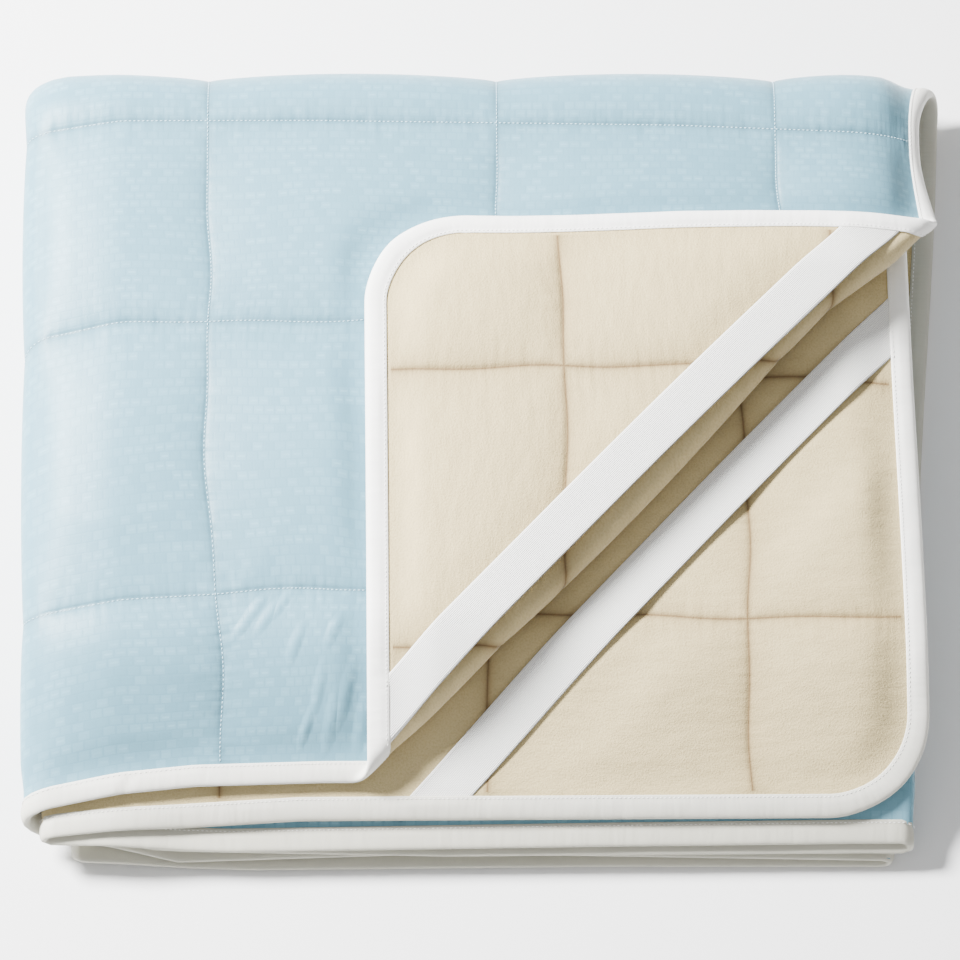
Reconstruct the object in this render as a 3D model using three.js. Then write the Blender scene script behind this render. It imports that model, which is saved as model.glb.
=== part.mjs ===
// A quilted mattress protector, folded for storage: a blue and beige quilted panel, its white edge binding
// and four elastic corner straps. Millimetres, +X right, +Y to the back, +Z up, resting on z = 0.
//
// The panel is laid out flat first: u runs along its length from the end of the top layer, v across its
// width from the front edge, and s through its thickness, towards the blue face. fold() then carries any
// flat point to its place in the folded stack, so that the panel, the binding and the straps fit together.
import * as THREE from "three";

// The flat panel.
const LENGTH = 2000;
const WIDTH = 900;
const CORNER_RADIUS = 55;
const SEAMS_ALONG = [94, 250, 412, 560, 709, 858, 1007, 1156, 1306, 1456, 1606, 1754, 1902];
const SEAMS_ACROSS = [108, 257, 392, 508, 643, 792];
const SEAM_HALF = 1.4;
const CROWN_HALF = 3.7;
const EDGE_HALF = 1.2;

// The binding: a tape folded over the edge. The gap inside it is pressed to about 0.3 in the stack.
const TAPE_WIDTH = 12;
const TAPE_THICK = 0.9;
const GAP = 0.5;

// The corner straps. Each is sewn across its corner at these distances along the two edges.
const STRAPS = {
  turned_back_corner: { endAtLength: false, endAtWidth: false, along: 297, across: 290 },
  second_layer: { endAtLength: true, endAtWidth: false, along: 281, across: 297 },
  bottom_layer: { endAtLength: false, endAtWidth: true, along: 285, across: 285 },
  layer_above_bottom: { endAtLength: true, endAtWidth: true, along: 285, across: 285 },
};
const STRAP_WIDTH = 25;
const STRAP_THICK = 0.7;
const STRAP_STEPS = 22;
const STRAP_RAMP = 12;
const STRAP_CLEAR = 0.45;

// The folded stack. Its layers lie at these heights above or below its middle, and the two outer pairs
// are further apart, because the straps lie between them.
const LAYER = 8;
const LEVEL = { d: 0.5 * LAYER, c: 1.5 * LAYER, b: 2.5 * LAYER, a: 3.5 * LAYER + 2 };
const HALF_STACK = LEVEL.a + CROWN_HALF - 0.35;
const BACK_FOLD_Y = 384;

// Where the length turns back, in the order of the panel: the flat length taken by each turn, and how far
// right or left it reaches at the upper front edge, at the back fold and at the lower front edge.
const TURNS = [
  { name: "free end of the top layer", from: 0, to: 0, side: 1, reach: [260, 258, 246] },
  { name: "outer left fold", from: 500, to: 540, side: -1, reach: [-252, -257, -238] },
  { name: "right fold", from: 1015, to: 1028, side: 1, reach: [235, 226, 224] },
  { name: "inner left fold", from: 1499, to: 1512, side: -1, reach: [-242, -241, -225] },
  { name: "free end of the second layer", from: 2000, to: 2000, side: 1, reach: [244, 234, 234] },
];

// The front edges, along the length: where the upper run and the lower run end, and the cloth that each
// takes up on the way to the back fold.
const EDGES = [
  { u: 0, upper: 0, lower: 0, easedUpper: 20, easedLower: 11 },
  { u: 150, upper: 0, lower: 0, easedUpper: 14, easedLower: 11 },
  { u: 350, upper: -3, lower: 0, easedUpper: 8, easedLower: 11 },
  { u: 460, upper: -9, lower: -1, easedUpper: 2, easedLower: 10 },
  { u: 500, upper: -15, lower: -5, easedUpper: 0, easedLower: 6 },
  { u: 540, upper: -24, lower: -24, easedUpper: 0, easedLower: 0 },
  { u: 600, upper: -30, lower: -35, easedUpper: 0, easedLower: 0 },
  { u: 760, upper: -33, lower: -30, easedUpper: 0, easedLower: 0 },
  { u: 1015, upper: -31, lower: -34, easedUpper: 0, easedLower: 0 },
  { u: 1028, upper: -27, lower: -36, easedUpper: 0, easedLower: 0 },
  { u: 1200, upper: -29, lower: -36, easedUpper: 0, easedLower: 0 },
  { u: 1400, upper: -32, lower: -38, easedUpper: 0, easedLower: 0 },
  { u: 1499, upper: -29, lower: -35, easedUpper: 0, easedLower: 0 },
  { u: 1512, upper: -26, lower: -30, easedUpper: 0, easedLower: 0 },
  { u: 1560, upper: -22, lower: -17, easedUpper: 0, easedLower: 0 },
  { u: 1650, upper: -17, lower: -10, easedUpper: 0, easedLower: 2 },
  { u: 2000, upper: -15, lower: -9, easedUpper: 0, easedLower: 3 },
];

// How far the cloth of the two uppermost layers has slid to the back, at each v.
const SLID = [
  { v: 0, top: 0, second: 0 },
  { v: 108, top: -5, second: -2 },
  { v: 257, top: 9, second: -14 },
  { v: BACK_FOLD_Y, top: 0, second: 0 },
];

// The free end of the top layer hangs over the side of the stack towards the back.
const OVERHANG = { over: 46, down: 9, inward: 13, from: 280, by: 392, until: 400, gone: 480 };

// The stack is pressed thin along its front edge and at its sides, and swells in the middle.
const FRONT_PRESS = 0.6;
const FRONT_RISE = { from: -12, over: 100 };
const SWELL = { height: 0.15, x: -20, y: 215, wide: 230, deep: 120 };
const SIDE_PRESS = { from: 200, over: 56, share: 0.1 };
const DROOP = { over: 34, low: 2 * LAYER + 1, leftFold: 8, leftFrom: -160, leftOver: 50 };

// The corner of the top layer is turned back across a diagonal.
const TURNBACK_RADIUS = 5;
const TURNBACK_END = 312;
const TURNBACK_STEPS = 6;
const TURNBACK_START = TURNBACK_END + Math.SQRT2 * Math.PI * TURNBACK_RADIUS;
const TURNBACK_HEIGHT = 9.2;
const TURNBACK_SETTLED = 60;

// The grid of the panel's faces.
const CROWN_AT = [0.26, 0.74];
const EDGE_LINES = [0, TAPE_WIDTH + 1, 32, CORNER_RADIUS];
const CORNER_STEPS = 5;
const BACK_STEPS = 6;
const OUTER_FOLD_STEPS = 6;
const INNER_FOLD_STEPS = 4;

const COLOURS = { panel: 0xa9c7d6, binding: 0xf3f1ea, strap: 0xefeeea };

const lerp = THREE.MathUtils.lerp;
const clamp = THREE.MathUtils.clamp;
const rise = (x) => THREE.MathUtils.smoothstep(x, 0, 1);

// The value of one column of a table, at a place between its rows, which grow by u or v.
function column(rows, name, place, by = "u") {
  const next = rows.findIndex((row) => row[by] >= place);
  if (next === 0) return rows[0][name];
  if (next < 0) return rows[rows.length - 1][name];
  const a = rows[next - 1];
  const b = rows[next];
  return lerp(a[name], b[name], (place - a[by]) / (b[by] - a[by]));
}

// How far a turn reaches, for a point at v: front, back and lower front, blended.
function reach(turn, v) {
  const q = v / (WIDTH / 2);
  const [front, back, lower] = turn.reach;
  return q < 1 ? lerp(front, back, rise(q)) : lerp(back, lower, rise(q - 1));
}

// How much the free end of the top layer hangs over, from 0 to 1.
function overhang(u, v) {
  const along = rise((v - OVERHANG.from) / (OVERHANG.by - OVERHANG.from));
  const ended = rise((OVERHANG.gone - v) / (OVERHANG.gone - OVERHANG.until));
  return clamp(1 - u / OVERHANG.over, 0, 1.2) ** 2 * along * ended;
}

// The section along the length: x, and the height above the stack's middle.
function foldLength(u, v, s) {
  const levels = [LEVEL.a, LEVEL.d, LEVEL.c, LEVEL.b];
  for (let run = 0; run < levels.length; run += 1) {
    const begin = TURNS[run];
    const end = TURNS[run + 1];
    const level = levels[run];
    const up = run % 2 === 0 ? s : -s;
    const before = begin.from === begin.to ? 0 : Math.abs(levels[run - 1] - level) / 2;
    const bend = end.from === end.to ? 0 : Math.abs(levels[run + 1] - level) / 2;
    const start = reach(begin, v) - begin.side * before;
    const stop = reach(end, v) - end.side * bend;
    if (u <= end.from || run === levels.length - 1) {
      const over = run === 0 ? overhang(u, v) : 0;
      const x = lerp(start, stop, (u - begin.to) / (end.from - begin.to)) - OVERHANG.inward * over;
      return [x, level + up - OVERHANG.down * over];
    }
    if (u < end.to) {
      const blueOutside = run < 2;
      const angle = (Math.PI * (u - end.from)) / (end.to - end.from);
      const radius = bend + (blueOutside ? s : -s);
      const away = Math.sign(level - levels[run + 1]);
      const middle = (level + levels[run + 1]) / 2;
      return [stop + end.side * radius * Math.sin(angle), middle + away * radius * Math.cos(angle)];
    }
  }
}

// How much the stack is pressed together or swollen at a place.
function press(x, y) {
  const front = lerp(FRONT_PRESS, 1, rise((y - FRONT_RISE.from) / FRONT_RISE.over));
  const away = ((y - SWELL.y) / SWELL.deep) ** 2 + ((x - SWELL.x) / SWELL.wide) ** 4;
  const side = 1 - SIDE_PRESS.share * rise((Math.abs(x) - SIDE_PRESS.from) / SIDE_PRESS.over);
  return (front + SWELL.height * Math.exp(-away)) * side;
}

// The height of the stack's middle, which droops to the surface where the layers below have ended.
function middle(x, y) {
  const atLeftFold = DROOP.leftFold * rise((DROOP.leftFrom - x) / DROOP.leftOver);
  const layersBelow = lerp(DROOP.low + atLeftFold, HALF_STACK, rise((y + DROOP.over) / DROOP.over));
  return layersBelow * press(x, y);
}

// Where the cloth at u leaves the upper run and enters the lower run.
function backFold(u) {
  const upper = column(EDGES, "upper", u);
  const lower = column(EDGES, "lower", u);
  const enter = BACK_FOLD_Y - upper + column(EDGES, "easedUpper", u);
  const leave = WIDTH - (BACK_FOLD_Y - lower + column(EDGES, "easedLower", u));
  return { upper, lower, enter, leave };
}

// The section across the width: y and z.
function foldWidth(u, v, x, height) {
  const { upper, lower, enter, leave } = backFold(u);
  if (v > enter && v < leave) {
    const angle = (Math.PI * (v - enter)) / (leave - enter);
    const z = middle(x, BACK_FOLD_Y) + height * press(x, BACK_FOLD_Y) * Math.cos(angle);
    return [BACK_FOLD_Y + height * Math.sin(angle), z];
  }
  if (v >= leave) {
    const y = lower + ((BACK_FOLD_Y - lower) * (WIDTH - v)) / (WIDTH - leave);
    return [y, middle(x, y) - height * press(x, y)];
  }
  const top = column(SLID, "top", v, "v") * (1 - rise((u - TURNS[1].from) / 40));
  const second = column(SLID, "second", v, "v") * rise((u - TURNS[3].to) / 60);
  const y = upper + ((BACK_FOLD_Y - upper) * v) / enter + top + second;
  return [y, middle(x, y) + height * press(x, y)];
}

// A flat point of the sheet in the folded stack, before the corner is turned back.
function foldFlat(u, v, s) {
  const [x, height] = foldLength(u, v, s);
  const [y, z] = foldWidth(u, v, x, height);
  return new THREE.Vector3(x, y, z);
}

// A point of the turned-back corner: round the bend, then flat over the layer that it is part of.
function turnBack(u, v, s, past) {
  const along = (v - u) / Math.SQRT2;
  const onLayer = (across) => [
    TURNBACK_START / 2 + (across - along) / Math.SQRT2,
    TURNBACK_START / 2 + (across + along) / Math.SQRT2,
  ];
  const angle = Math.min(past / TURNBACK_RADIUS, Math.PI);
  const beyond = past - Math.PI * TURNBACK_RADIUS;
  const bulge = 2 * TURNBACK_RADIUS - TURNBACK_HEIGHT;
  const settled = clamp(beyond / TURNBACK_SETTLED, 0, 1);
  const inBend = beyond <= 0;
  const up = inBend ? TURNBACK_RADIUS * (1 - Math.cos(angle)) : TURNBACK_HEIGHT + bulge * (1 - settled);
  const middleAt = foldFlat(...onLayer(inBend ? -TURNBACK_RADIUS * Math.sin(angle) : beyond), 0);
  const pressed = s * press(middleAt.x, middleAt.y);
  const at = foldFlat(...onLayer(inBend ? (pressed - TURNBACK_RADIUS) * Math.sin(angle) : beyond), 0);
  at.z += up + pressed * Math.cos(angle);
  return at;
}

// A flat point of the sheet at its place in the finished stack. Nothing reaches below the surface.
function fold(u, v, s) {
  const past = (TURNBACK_START - u - v) / Math.SQRT2;
  const turned = past > 0 && u < TURNBACK_START && v < TURNBACK_START;
  const at = turned ? turnBack(u, v, s, past) : foldFlat(u, v, s);
  at.z = Math.max(at.z, 0);
  return at;
}

// The distance from a flat point to the panel's outline, with its rounded corners.
function fromEdge(u, v) {
  const du = Math.min(u, LENGTH - u);
  const dv = Math.min(v, WIDTH - v);
  if (du >= CORNER_RADIUS || dv >= CORNER_RADIUS) return Math.min(du, dv);
  return CORNER_RADIUS - Math.hypot(CORNER_RADIUS - du, CORNER_RADIUS - dv);
}

// Half the panel's thickness: thin in the binding and at the seams, full at each crown.
function halfThickness(u, v) {
  const crown = (at, seams, end) => {
    const lines = [0, ...seams, end];
    const cell = Math.max(lines.findIndex((line) => line > at) - 1, 0);
    const q = at >= end ? 1 : (at - lines[cell]) / (lines[cell + 1] - lines[cell]);
    return rise(Math.min(q, 1 - q) / CROWN_AT[0]);
  };
  const padded = crown(u, SEAMS_ALONG, LENGTH) * crown(v, SEAMS_ACROSS, WIDTH);
  const full = lerp(SEAM_HALF, CROWN_HALF, padded);
  return lerp(EDGE_HALF, full, rise((fromEdge(u, v) - EDGE_LINES[1]) / (EDGE_LINES[2] - EDGE_LINES[1])));
}

// The lines of the grid between two corners: the seams and each cell's two crown lines.
function cellLines(seams, end) {
  const lines = [...EDGE_LINES, ...seams, ...EDGE_LINES.map((line) => end - line)];
  seams.slice(1).forEach((seam, i) => {
    CROWN_AT.forEach((share) => lines.push(Math.round(lerp(seams[i], seam, share))));
  });
  return lines.sort((a, b) => a - b);
}

// Lines along the length, closer together round each fold, and one where the corner is turned back.
function alongLines() {
  const kept = cellLines(SEAMS_ALONG, LENGTH).filter((line) =>
    TURNS.every((turn) => turn.from === turn.to || line < turn.from - 9 || line > turn.to + 9),
  );
  TURNS.filter((turn) => turn.to > turn.from).forEach((turn) => {
    const steps = turn.to - turn.from > 30 ? OUTER_FOLD_STEPS : INNER_FOLD_STEPS;
    for (let i = 0; i <= steps; i += 1) kept.push(lerp(turn.from, turn.to, i / steps));
  });
  return [...kept, TURNBACK_END].sort((a, b) => a - b);
}

// Lines across the width, as functions of u, because the back fold starts at another v in each layer.
function acrossLines() {
  const straight = cellLines(SEAMS_ACROSS, WIDTH).filter((line) => Math.abs(line - WIDTH / 2) > 55);
  const flat = [...straight, TURNBACK_END].sort((a, b) => a - b);
  const front = flat.filter((line) => line < WIDTH / 2).map((line) => () => line);
  const lower = flat.filter((line) => line > WIDTH / 2).map((line) => () => line);
  const bend = Array.from({ length: BACK_STEPS + 1 }, (_, i) => (u) => {
    const { enter, leave } = backFold(u);
    return lerp(enter, leave, i / BACK_STEPS);
  });
  return [...front, ...bend, ...lower];
}

const ALONG = alongLines();
const ACROSS = acrossLines();
const TURNBACK_LINES = Array.from({ length: TURNBACK_STEPS + 1 }, (_, i) =>
  lerp(TURNBACK_START, TURNBACK_END, i / TURNBACK_STEPS),
).concat(TURNBACK_END - TURNBACK_SETTLED * Math.SQRT2);

// The four corners, anticlockwise seen from the blue side: the arc's centre and its first angle.
const CORNERS = [
  { u: CORNER_RADIUS, v: CORNER_RADIUS, angle: Math.PI },
  { u: LENGTH - CORNER_RADIUS, v: CORNER_RADIUS, angle: 1.5 * Math.PI },
  { u: LENGTH - CORNER_RADIUS, v: WIDTH - CORNER_RADIUS, angle: 0 },
  { u: CORNER_RADIUS, v: WIDTH - CORNER_RADIUS, angle: 0.5 * Math.PI },
];

function cornerPoint(corner, radius, step) {
  const angle = corner.angle + (Math.PI / 2) * (step / CORNER_STEPS);
  return [corner.u + radius * Math.cos(angle), corner.v + radius * Math.sin(angle)];
}

// The flat panel as triangles of [u, v] points: a grid, and a fan in each rounded corner.
function flatTriangles() {
  const triangles = [];
  const quad = (a, b, c, d) => triangles.push([a, b, c], [a, c, d]);
  const inCorner = (u, v) => {
    const du = Math.min(u, LENGTH - u);
    const dv = Math.min(v, WIDTH - v);
    return du < CORNER_RADIUS && dv < CORNER_RADIUS;
  };
  for (let i = 0; i + 1 < ALONG.length; i += 1) {
    for (let j = 0; j + 1 < ACROSS.length; j += 1) {
      const [left, right] = [ALONG[i], ALONG[i + 1]];
      const at = (u, line) => [u, line(u)];
      const [below, above] = [ACROSS[j], ACROSS[j + 1]];
      if (inCorner((left + right) / 2, (below(left) + above(left)) / 2)) continue;
      const corners = [at(left, below), at(right, below), at(right, above), at(left, above)];
      const atEnd = i === 0 || i + 2 === ALONG.length;
      quad(...(atEnd ? [...corners.slice(1), corners[0]] : corners));
    }
  }
  const radii = EDGE_LINES.map((line) => CORNER_RADIUS - line);
  CORNERS.forEach((corner) => {
    for (let ring = 0; ring + 1 < radii.length; ring += 1) {
      for (let step = 0; step < CORNER_STEPS; step += 1) {
        const outer = [cornerPoint(corner, radii[ring], step), cornerPoint(corner, radii[ring], step + 1)];
        const inner = [0, 1].map((k) => cornerPoint(corner, radii[ring + 1], step + k));
        if (radii[ring + 1] > 0) quad(outer[0], outer[1], inner[1], inner[0]);
        else triangles.push([outer[0], outer[1], inner[0]]);
      }
    }
  });
  return triangles;
}

// Cuts flat triangles along the line u + v = sum.
function splitDiagonally(triangles, sum) {
  const side = ([u, v]) => (Math.abs(u + v - sum) < 0.01 ? 0 : Math.sign(u + v - sum));
  const crossing = (a, b) => {
    const share = (sum - a[0] - a[1]) / (b[0] + b[1] - a[0] - a[1]);
    return [lerp(a[0], b[0], share), lerp(a[1], b[1], share)];
  };
  return triangles.flatMap((triangle) => {
    const sides = triangle.map(side);
    if (Math.min(...sides) >= 0 || Math.max(...sides) <= 0) return [triangle];
    const parts = { "-1": [], 1: [] };
    triangle.forEach((point, i) => {
      const next = (i + 1) % 3;
      if (sides[i] <= 0) parts[-1].push(point);
      if (sides[i] >= 0) parts[1].push(point);
      if (sides[i] * sides[next] < 0) {
        // The two ends are taken in a fixed order, so that neighbours get the same point.
        const ends = [point, triangle[next]].sort((a, b) => a[0] - b[0] || a[1] - b[1]);
        const cut = crossing(...ends);
        parts[-1].push(cut);
        parts[1].push(cut);
      }
    });
    return Object.values(parts).flatMap((part) =>
      part.slice(2).map((_, i) => [part[0], part[i + 1], part[i + 2]]),
    );
  });
}

function material(name, colour, roughness) {
  return new THREE.MeshStandardMaterial({ name, color: colour, roughness, metalness: 0 });
}

function mesh(name, points, faces, finish) {
  const geometry = new THREE.BufferGeometry().setFromPoints(points);
  geometry.setIndex(faces.flat());
  geometry.computeVertexNormals();
  const made = new THREE.Mesh(geometry, finish);
  made.name = name;
  return made;
}

// The quilted panel: both faces of the flat triangles, joined round their outline, and folded.
function quiltedPanel(finish) {
  let triangles = flatTriangles();
  TURNBACK_LINES.forEach((sum) => {
    triangles = splitDiagonally(triangles, sum);
  });
  const found = new Map();
  const flat = [];
  const indexOf = ([u, v]) => {
    const key = `${u.toFixed(3)},${v.toFixed(3)}`;
    if (!found.has(key)) found.set(key, flat.push([u, v]) - 1);
    return found.get(key);
  };
  const upper = triangles.map((triangle) => triangle.map(indexOf));
  const count = flat.length;
  const points = [1, -1].flatMap((face) => flat.map(([u, v]) => fold(u, v, face * halfThickness(u, v))));
  const lower = upper.map(([a, b, c]) => [c + count, b + count, a + count]);
  const directed = new Set(upper.flatMap(([a, b, c]) => [`${a},${b}`, `${b},${c}`, `${c},${a}`]));
  const rim = [...directed]
    .map((edge) => edge.split(",").map(Number))
    .filter(([a, b]) => !directed.has(`${b},${a}`))
    .flatMap(([a, b]) => [
      [b, a, a + count],
      [b, a + count, b + count],
    ]);
  // Along the length the top layer runs towards -X, so the flat order of each face turns over.
  const faces = [...upper, ...lower, ...rim].map(([a, b, c]) => [a, c, b]);
  return mesh("quilted_panel", points, faces, finish);
}

// The stations of the binding round the outline. Each gives the flat point at a distance inside the edge.
// Where the corner turns back, the stations follow the diagonal.
function bindingStations() {
  const stations = [];
  const inner = ALONG.filter((u) => u > CORNER_RADIUS && u < LENGTH - CORNER_RADIUS);
  const rows = ACROSS.filter((line) => line(0) > CORNER_RADIUS && line(0) < WIDTH - CORNER_RADIUS);
  const arc = (corner) => {
    for (let step = 0; step <= CORNER_STEPS; step += 1) {
      stations.push((w) => cornerPoint(corner, CORNER_RADIUS - w, step));
    }
  };
  const frontEdge = [
    ...inner.filter((u) => u !== TURNBACK_END).map((u) => ({ at: u, flat: (w) => [u, w] })),
    ...TURNBACK_LINES.map((sum) => ({ at: sum, flat: (w) => [sum - w, w] })),
  ].sort((a, b) => a.at - b.at);
  const endEdge = [
    ...rows
      .filter((line) => line(0) !== TURNBACK_END)
      .map((line) => ({ at: line(0), flat: (w) => [w, line(w)] })),
    ...TURNBACK_LINES.map((sum) => ({ at: sum, flat: (w) => [w, sum - w] })),
  ].sort((a, b) => b.at - a.at);
  arc(CORNERS[0]);
  frontEdge.forEach(({ flat }) => stations.push(flat));
  arc(CORNERS[1]);
  rows.forEach((line) => stations.push((w) => [LENGTH - w, line(LENGTH - w)]));
  arc(CORNERS[2]);
  inner.toReversed().forEach((u) => stations.push((w) => [u, WIDTH - w]));
  arc(CORNERS[3]);
  endEdge.forEach(({ flat }) => stations.push(flat));
  return stations;
}

// A closed band from the stations and its section of [distance inside the edge, s] points.
function band(name, stations, section, finish) {
  const points = stations.flatMap((flat) => section.map(([w, s]) => fold(...flat(w), s)));
  const faces = [];
  const n = section.length;
  stations.forEach((_, i) => {
    const here = i * n;
    const next = ((i + 1) % stations.length) * n;
    for (let k = 0; k < n; k += 1) {
      const after = (k + 1) % n;
      const [a, b, c, d] = [here + k, next + k, next + after, here + after];
      // Each strip is split from its outer edge forward to its inner edge, as the panel's rim is.
      if (section[after][0] > section[k][0]) faces.push([a, b, c], [a, c, d]);
      else faces.push([a, b, d], [b, c, d]);
    }
  });
  return mesh(name, points, faces, finish);
}

function edgeBinding(finish) {
  const inside = EDGE_HALF + GAP;
  const outside = inside + TAPE_THICK;
  const section = [
    [TAPE_WIDTH, outside],
    [-GAP - TAPE_THICK, outside],
    [-GAP - TAPE_THICK, -outside],
    [TAPE_WIDTH, -outside],
    [TAPE_WIDTH, -inside],
    [-GAP, -inside],
    [-GAP, inside],
    [TAPE_WIDTH, inside],
  ];
  return band("edge_binding", bindingStations(), section, finish);
}

// How much further from its corner than its middle a strap's edge lies, so that the strap runs straight
// between its two ends and stays as wide.
function drawnStraight(place, share, away) {
  const start = place(0, 0);
  const end = place(1, 0);
  const length = Math.hypot(end.x - start.x, end.y - start.y);
  const aside = (point) =>
    ((point.x - start.x) * (end.y - start.y) - (point.y - start.y) * (end.x - start.x)) / length;
  const side = Math.sign(aside(place(0.5, 20)) - aside(place(0.5, 0)));
  let outward = away * Math.SQRT2;
  for (let turn = 0; turn < 6; turn += 1) {
    const missed = aside(place(share, outward)) - side * away;
    const slope = aside(place(share, outward + 1)) - aside(place(share, outward));
    outward -= missed / slope;
  }
  return outward;
}

// A flat strap on the beige side of a corner, from one bound edge to the other. It starts beside the
// binding and lies on the crowns.
function cornerStrap(name, { endAtLength, endAtWidth, along, across }, finish) {
  const points = [];
  const faces = [];
  const from = TAPE_WIDTH + GAP;
  const place = (share, outward, above) => {
    const at = lerp(from / (along + outward), 1 - from / (across + outward), share);
    const a = at * (along + outward);
    const b = (1 - at) * (across + outward);
    const onCrown = clamp((fromEdge(a, b) - from) / STRAP_RAMP, 0, 1);
    const inner = lerp(EDGE_HALF + GAP, CROWN_HALF + STRAP_CLEAR, onCrown);
    return fold(endAtLength ? LENGTH - a : a, endAtWidth ? WIDTH - b : b, -inner - above);
  };
  for (let i = 0; i <= STRAP_STEPS; i += 1) {
    const share = 0.5 - 0.5 * Math.cos((Math.PI * i) / STRAP_STEPS);
    [-0.5, 0.5].forEach((half) => {
      const outward = drawnStraight((at, further) => place(at, further, 0), share, half * STRAP_WIDTH);
      points.push(place(share, outward, 0));
      points.push(place(share, outward, STRAP_THICK));
    });
  }
  const quad = (a, b, c, d) => faces.push([a, b, c], [a, c, d]);
  const last = STRAP_STEPS * 4;
  for (let at = 0; at < last; at += 4) {
    quad(at, at + 4, at + 5, at + 1);
    quad(at + 1, at + 5, at + 7, at + 3);
    quad(at + 3, at + 7, at + 6, at + 2);
    quad(at, at + 2, at + 6, at + 4);
  }
  quad(0, 1, 3, 2);
  quad(last, last + 2, last + 3, last + 1);
  const mirrored = endAtLength !== endAtWidth;
  return mesh(name, points, mirrored ? faces.map(([a, b, c]) => [a, c, b]) : faces, finish);
}

// The whole part, centred on its origin, which is under the middle of its box.
const protector = new THREE.Group();
protector.add(quiltedPanel(material("quilted cloth", COLOURS.panel, 0.75)));
protector.add(edgeBinding(material("binding tape", COLOURS.binding, 0.7)));
const elastic = material("ribbed elastic", COLOURS.strap, 0.8);
Object.entries(STRAPS).forEach(([name, strap]) => {
  protector.add(cornerStrap(`strap_${name}`, strap, elastic));
});

const box = new THREE.Box3().setFromObject(protector, true);
const centre = box.getCenter(new THREE.Vector3());
protector.position.set(-centre.x, -centre.y, -box.min.z);

export default protector;
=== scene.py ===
"""A quilted mattress protector, folded for storage, with its front-right corner turned back.

The cloth is laid out flat first, in millimetres: u along its length from the end of the top layer, v across
its width from the front edge, s through its thickness towards the blue face. fold() carries flat points to
their place in the stack, and the panel, binding, straps and stitches are all made through it.
"""
import math

import bpy
import numpy as np
from bpy.props import FloatProperty, FloatVectorProperty, IntProperty, PointerProperty
from bpy.types import Operator, Panel, PropertyGroup
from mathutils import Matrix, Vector


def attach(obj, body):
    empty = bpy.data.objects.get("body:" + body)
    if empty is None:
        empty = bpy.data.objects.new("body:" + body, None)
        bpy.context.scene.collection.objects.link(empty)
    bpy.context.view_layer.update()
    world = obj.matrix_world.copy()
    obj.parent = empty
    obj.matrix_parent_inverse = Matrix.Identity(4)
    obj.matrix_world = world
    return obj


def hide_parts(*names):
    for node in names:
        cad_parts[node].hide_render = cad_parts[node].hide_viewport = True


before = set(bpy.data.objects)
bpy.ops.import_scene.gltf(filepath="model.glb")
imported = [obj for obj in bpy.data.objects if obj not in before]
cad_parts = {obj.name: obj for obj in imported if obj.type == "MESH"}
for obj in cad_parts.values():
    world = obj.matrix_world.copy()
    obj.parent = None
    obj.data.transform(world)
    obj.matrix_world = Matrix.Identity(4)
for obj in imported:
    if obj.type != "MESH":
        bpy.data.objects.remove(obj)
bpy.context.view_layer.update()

bl_info = {
    "name": "Folded mattress protector",
    "version": (1, 0, 0),
    "blender": (4, 5, 0),
    "location": "3D View > Sidebar > Protector",
    "description": "Makes a quilted mattress protector, folded, with bound edges and corner straps",
    "category": "Object",
}

# The flat cloth, in millimetres.
LENGTH = 2000.0
WIDTH = 900.0
CORNER_RADIUS = 55.0
SEAMS_ALONG = [94, 250, 412, 560, 709, 858, 1007, 1156, 1306, 1456, 1606, 1754, 1902]
SEAMS_ACROSS = [108, 257, 392, 508, 643, 792]
SEAM_HALF = 1.4
CROWN_HALF = 3.7
EDGE_HALF = 1.2
TAPE_WIDTH = 12.0
TAPE_STITCHED = 9.2
TAPE_JOINT = 463.0
STITCH_DEPTH = 2.1
STRAP_THICKNESS = 0.75

# The folded stack: the heights of its layers from its middle, and where the length turns back.
LAYER = 8.0
LEVELS = [3.5 * LAYER + 2, 0.5 * LAYER, 1.5 * LAYER, 2.5 * LAYER]
HALF_STACK = LEVELS[0] + CROWN_HALF - 0.35
BACK_FOLD_Y = 384.0
CENTRE = np.array([0.770, -189.408, 0.0])
# from, to, side, and the reach at the upper front edge, the back fold and the lower front edge
TURNS = [
    (0, 0, 1, (260, 258, 241)),
    (500, 540, -1, (-252, -257, -238)),
    (1015, 1028, 1, (235, 226, 224)),
    (1499, 1512, -1, (-242, -241, -225)),
    (2000, 2000, 1, (244, 234, 234)),
]
# u, the ends of the upper run and of the lower run, and the cloth that each takes up on the way to the back
EDGES = np.array([
    (0, 0, 0, 20, 11), (150, 2, 0, 16, 11), (350, 1, 0, 12, 11), (420, -1, -1, 10, 10), (460, -5, -1, 6, 10),
    (500, -12, -5, 3, 6),
    (540, -24, -24, 0, 0), (600, -30, -35, 0, 0), (760, -33, -30, 0, 0), (1015, -31, -34, 0, 0),
    (1028, -27, -36, 0, 0), (1200, -29, -36, 0, 0), (1400, -32, -38, 0, 0), (1499, -29, -35, 0, 0),
    (1512, -26, -30, 0, 0), (1560, -22, -17, 0, 0), (1650, -17, -10, 0, 2), (2000, -15, -9, 0, 3),
], float)
# v, and how far the cloth of the top layer and of the second layer has slid to the back, with how much
# further the top layer has slid at its free end
SLID = np.array([(0, 0, 0), (108, -5, -2), (257, 9, -14), (BACK_FOLD_Y, 0, 0)], float)
SLID_AT_END = 9.0

# The turned-back corner.
BEND_RADIUS = 5.0
BEND_END = 312.0
BEND_START = BEND_END + math.sqrt(2) * math.pi * BEND_RADIUS
FLAP_HEIGHT = 9.2
FLAP_SETTLED = 60.0
ROOT2 = math.sqrt(2)

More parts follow.
